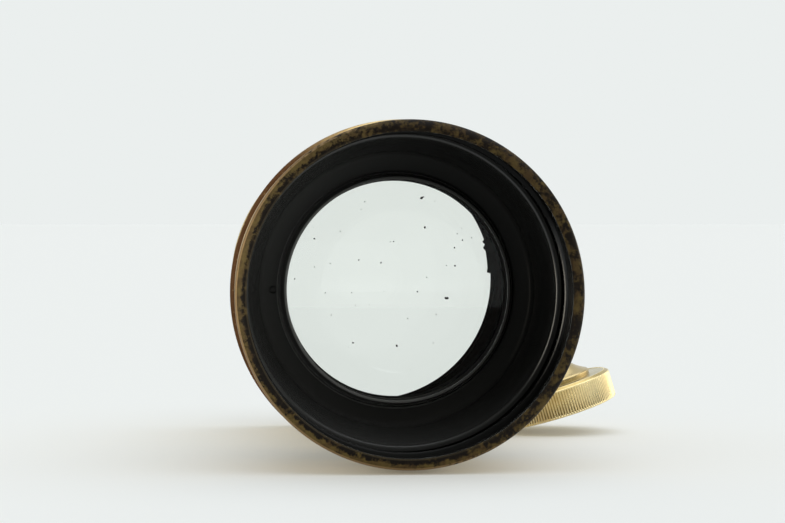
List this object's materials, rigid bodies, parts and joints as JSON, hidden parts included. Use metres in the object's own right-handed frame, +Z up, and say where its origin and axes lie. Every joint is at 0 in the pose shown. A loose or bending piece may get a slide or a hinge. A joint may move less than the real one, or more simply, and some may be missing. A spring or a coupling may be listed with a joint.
{
  "type": "brass portrait lens",
  "caption": "Antique brass portrait lens with a slip-on hood, rack-and-pinion focusing barrel and a screwed rear mounting flange, lying on its side.",
  "frame": {"origin": "middle of the lens's footprint, on the surface it lies on", "axes": "+Y along the optical axis from the mouth to the camera, +Z up, the focusing knob towards +X"},
  "size_m": [0.1136, 0.1416, 0.088],
  "materials": {
    "black_lacquered_brass": "satin black lacquer worn through to brass on the rim",
    "lacquered_brass": "aged golden lacquer over turned brass",
    "knurled_brass": "straight-knurled, bright on the crests and dark in the grooves",
    "crown_glass": "polished",
    "flint_glass": "polished",
    "blued_steel": "dulled steel"
  },
  "bodies": {
    "jacket": {"outer_jacket": "lacquered_brass", "mounting_flange": "lacquered_brass", "pinion_housing": "lacquered_brass", "pinion_cap": "lacquered_brass", "cap_screw_1": "blued_steel", "cap_screw_2": "blued_steel", "cap_screw_3": "blued_steel", "cap_screw_4": "blued_steel", "shaft_bushing": "lacquered_brass"},
    "barrel": {"inner_barrel": "lacquered_brass", "front_cell": "black_lacquered_brass", "front_retaining_ring": "black_lacquered_brass", "ring_lock_screw": "blued_steel", "front_crown": "crown_glass", "front_flint": "flint_glass", "rear_cell": "black_lacquered_brass", "rear_flint": "flint_glass", "rear_spacer_ring": "black_lacquered_brass", "rear_crown": "crown_glass", "rear_retaining_ring": "black_lacquered_brass", "rack": "lacquered_brass", "rack_screw_1": "blued_steel", "rack_screw_2": "blued_steel"},
    "pinion": {"pinion_shaft": "blued_steel", "focus_knob": "knurled_brass", "knob_screw": "blued_steel"},
    "hood": {"hood": "black_lacquered_brass"}
  },
  "joints": [
    {"name": "focus_slide", "type": "slide", "parent": "jacket", "child": "barrel", "axis": [0, -1, 0], "range_m": [-0.008, 0.02]},
    {"name": "pinion_spin", "type": "hinge", "parent": "jacket", "child": "pinion", "pos_m": [0.02438, 0.0441, 0.05515], "axis": [0.2874, 0, -0.9578], "range_deg": [-274, 110]},
    {"name": "hood_slide", "type": "slide", "parent": "barrel", "child": "hood", "axis": [0, -1, 0], "range_m": [0, 0.03]}
  ],
  "couplings": [
    {"joint": "pinion_spin", "follows": "focus_slide", "rad_per_m": -238.09}
  ]
}
